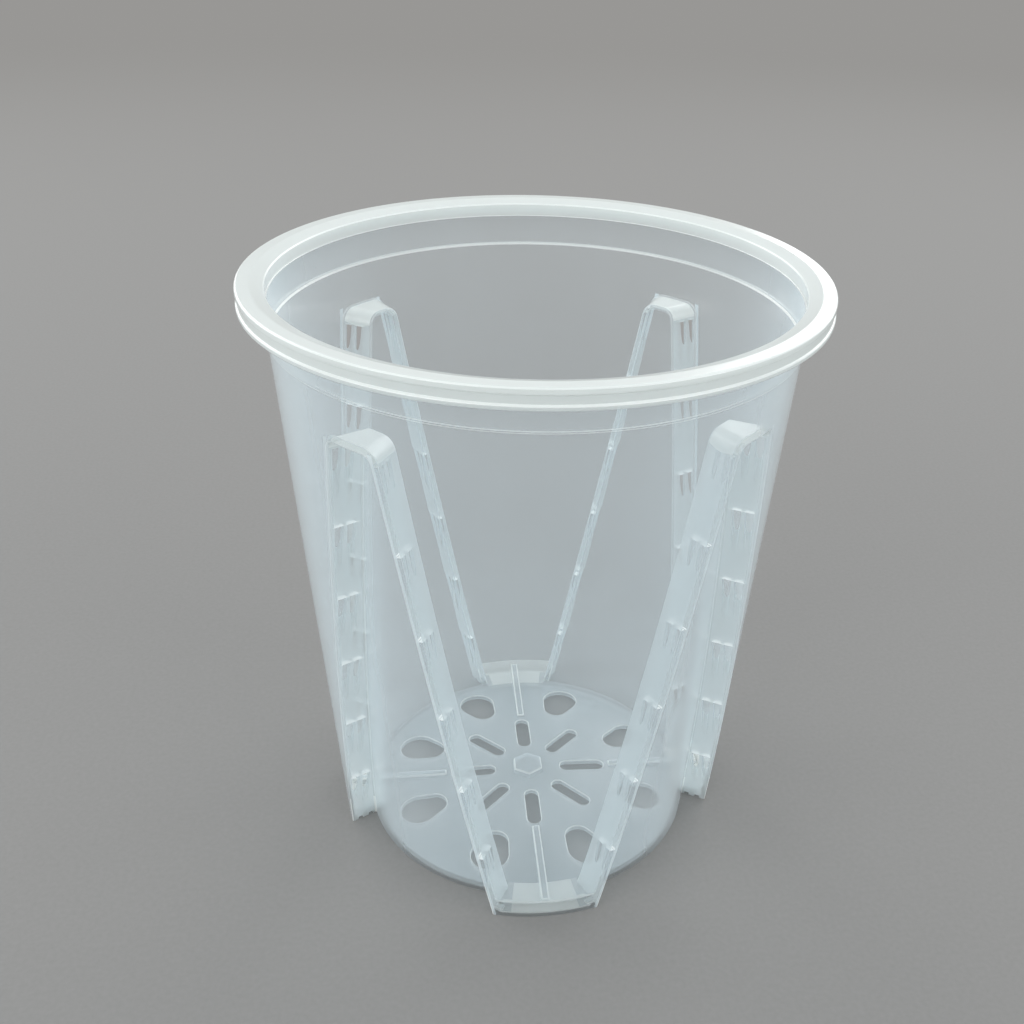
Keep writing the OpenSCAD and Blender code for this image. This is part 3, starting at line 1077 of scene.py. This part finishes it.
# %% Floor
FLOOR_R = 6.0
FLOOR_SIDES = 128
FADE_FROM = 0.25
FADE_TO = 1.3
disc = bmesh.new()
bmesh.ops.create_circle(disc, cap_ends=True, segments=FLOOR_SIDES, radius=FLOOR_R)
ground_sheet = as_object(disc, "pale_floor")
paper = Build("pale_paper")
place = paper.node("ShaderNodeTexCoord", output=3)
grain = paper.node("ShaderNodeTexNoise", None, {"Vector": place, "Scale": 900.0, "Detail": 2.0})
tint = paper.node("ShaderNodeMix", {"data_type": "RGBA"},
                  {0: grain, 6: (0.224, 0.220, 0.213, 1), 7: (0.256, 0.252, 0.245, 1)}, output=2)
sheet = paper.node("ShaderNodeBsdfPrincipled", None, {"Base Color": tint, "Roughness": 0.9})
even = paper.node("ShaderNodeEmission", None, {"Color": PALE, "Strength": 1.0})
far = paper.node("ShaderNodeMapRange", {"interpolation_type": "SMOOTHSTEP"}, {
    "Value": paper.node("ShaderNodeVectorMath", {"operation": "LENGTH"}, {0: place}, output=1),
    "From Min": FADE_FROM, "From Max": FADE_TO})
ground_sheet.data.materials.append(paper.finish(
    paper.node("ShaderNodeMixShader", None, {0: far * looked_at(paper), 1: sheet, 2: even})))
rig.stage(ground_sheet)
print("floor radius in metres:", FLOOR_R)

# %% World
world = bpy.data.worlds.new("soft_room")
bpy.context.scene.world = world
world.use_nodes = True
room = Build(None, world.node_tree)
light = room.node("ShaderNodeBackground", None, {"Color": (0.93, 0.97, 1.0, 1), "Strength": 0.72})
view = room.node("ShaderNodeBackground", None, {"Color": PALE, "Strength": 1.0})
room.node("ShaderNodeOutputWorld", None, {"Surface": room.node(
    "ShaderNodeMixShader", None, {0: looked_at(room), 1: light, 2: view})})
print("world:", world.name)

# %% [markdown]
# ## Lamps
# Four large soft lamps, like windows, stand round the pot and look down at it. They are wide enough to
# leave long soft streaks on the round walls and no hard spots. Those at the back are the brighter ones,
# because light that comes through from behind is what makes milky plastic shine.

# %% Lamps
WINDOW_AWAY = 1.5
WINDOW_UP = 0.8
WINDOW_SIZE = (1.4, 1.1)
POT_MIDDLE = (0, 0, 0.07)
# Each window has its direction in degrees and its power in watts.
WINDOWS = {"front_left_window": (218, 11.5), "front_right_window": (322, 8.5),
           "back_right_window": (48, 12), "back_left_window": (132, 12)}


def lamp(name, place, target, size, watts):
    """A rectangular soft lamp that looks at a point."""
    data = bpy.data.lights.new(name, "AREA")
    data.shape = "RECTANGLE"
    data.size, data.size_y = size
    data.energy = watts
    piece = bpy.data.objects.new(name, data)
    piece.location = place
    piece.rotation_euler = (Vector(target) - Vector(place)).to_track_quat("-Z", "Y").to_euler()
    bpy.context.scene.collection.objects.link(piece)


for name, (degrees, watts) in WINDOWS.items():
    angle = math.radians(degrees)
    place = (WINDOW_AWAY * math.cos(angle), WINDOW_AWAY * math.sin(angle), WINDOW_UP)
    lamp(name, place, POT_MIDDLE, WINDOW_SIZE, watts)
print("lamps:", len(WINDOWS))

# %% [markdown]
# ## Camera
# The camera was worked out from points on the rim, step, toes and slots in the photograph. The photograph
# is a crop whose middle isn't its lens's middle, which a small shift stands for. The lens is measured in
# pixels of the photograph, and the camera's place in millimetres from the pot's foot.

# %% Camera
IMAGE = 1024
FOCAL_PX = 1222.5
PRINCIPAL = (54.8, -89.7)
AZIMUTH, ELEVATION, ROLL = (math.radians(a) for a in (-7.720, 25.054, 1.908))
DISTANCE = 262.51
LOOK_X, LOOK_Z = 6.820, 97.666
back = Vector((math.sin(AZIMUTH) * math.cos(ELEVATION), -math.cos(AZIMUTH) * math.cos(ELEVATION),
               math.sin(ELEVATION)))
right = Vector((math.cos(AZIMUTH), math.sin(AZIMUTH), 0))
up = back.cross(right)
place = (right * LOOK_X + Vector((0, 0, LOOK_Z)) + back * DISTANCE) * MM
right, up = right * math.cos(ROLL) + up * math.sin(ROLL), up * math.cos(ROLL) - right * math.sin(ROLL)
camera_data = bpy.data.cameras.new("photo_camera")
camera_data.sensor_width = 36
camera_data.lens = FOCAL_PX / IMAGE * camera_data.sensor_width
camera_data.shift_x = -PRINCIPAL[0] / IMAGE
camera_data.shift_y = PRINCIPAL[1] / IMAGE
camera_data.clip_start = 0.01
camera = bpy.data.objects.new("photo_camera", camera_data)
camera.matrix_world = Matrix.Translation(place) @ Matrix((right, up, back)).transposed().to_4x4()
bpy.context.scene.collection.objects.link(camera)
bpy.context.scene.camera = camera
print("camera's place in metres:", [round(v, 4) for v in place], "lens:", round(camera_data.lens, 1), "mm")

# %% [markdown]
# ## View and light paths
# A ray from the side crosses many clear walls one after another, and each counts as two surfaces, so more
# transparent bounces are allowed than Blender's default, or the last walls would turn black.

# %% View and light paths
CLEAR_SURFACES = 32
scene = bpy.context.scene
scene.view_settings.view_transform = "Standard"
scene.cycles.transparent_max_bounces = CLEAR_SURFACES

with open("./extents.json", "w") as out:
    json.dump({"cad": [list(corner) for corner in cad_box],
               "visual": [list(corner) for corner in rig.bounds()]}, out)
print(open("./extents.json").read())
